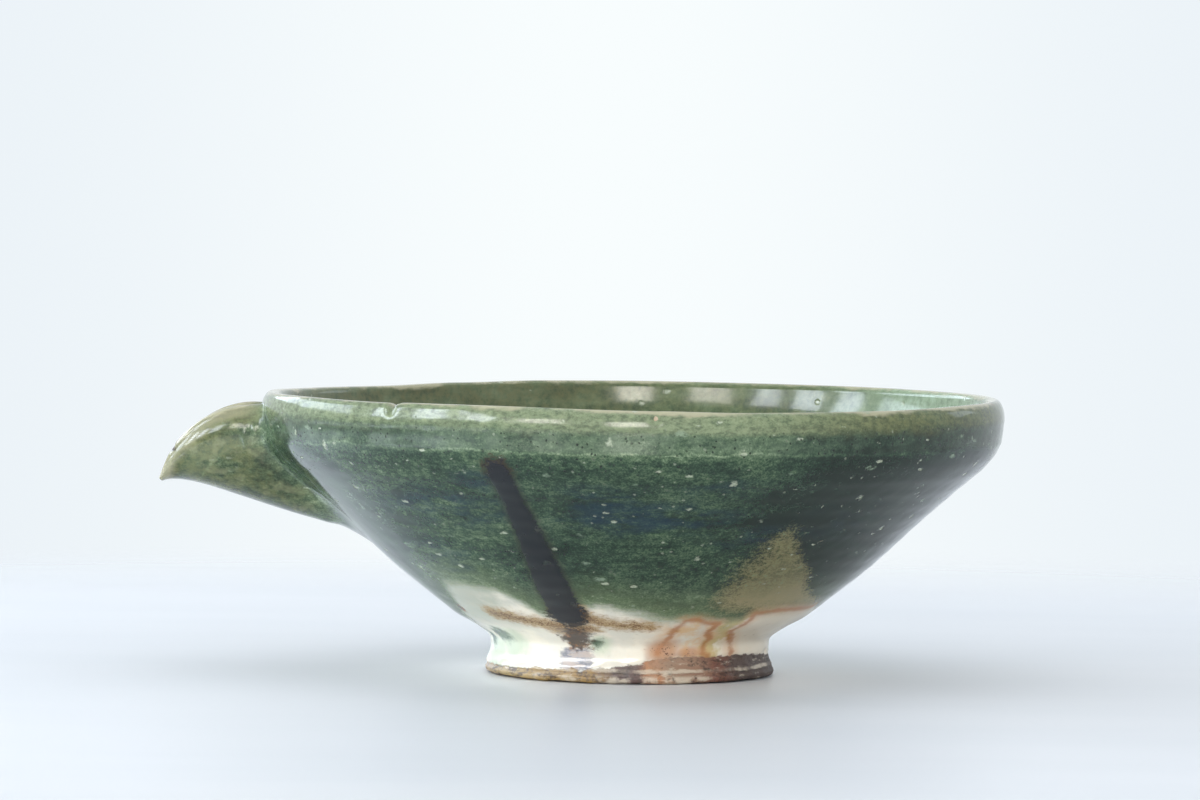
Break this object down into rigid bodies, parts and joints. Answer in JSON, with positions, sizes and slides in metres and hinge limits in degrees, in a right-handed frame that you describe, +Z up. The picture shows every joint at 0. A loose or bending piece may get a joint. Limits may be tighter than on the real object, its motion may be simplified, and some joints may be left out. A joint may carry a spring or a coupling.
{
  "type": "katakuchi sake pourer",
  "caption": "Low conical stoneware pouring bowl on a turned foot ring, with a beaked trough spout below an unbroken rim, green and cream glaze and an iron brush stroke.",
  "frame": {"origin": "on the table, at the centre of the foot ring, where the bowl's axis meets the table", "axes": "+Z up along the bowl's axis; the spout points along -X; +Y is towards the back of the pictured view"},
  "size_m": [0.17, 0.149, 0.056],
  "materials": {
    "stoneware": "fired buff stoneware, covered by glaze",
    "bare_stoneware": "bare fired stoneware, brown and gritty",
    "green_glaze": "glossy copper green glaze with pits and blue hazes",
    "olive_glaze": "glossy olive green glaze, thin and tan at the edges",
    "cream_glaze": "glossy cream glaze with brown and orange stains",
    "iron_pigment": "dark iron brush stroke fired into the glaze"
  },
  "bodies": {
    "root": {"bowl": "stoneware", "foot_ring": "bare_stoneware", "spout": "stoneware", "outer_glaze": "green_glaze", "inner_glaze": "green_glaze", "spout_glaze": "olive_glaze", "foot_glaze": "cream_glaze", "iron_stroke": "iron_pigment"}
  },
  "joints": []
}
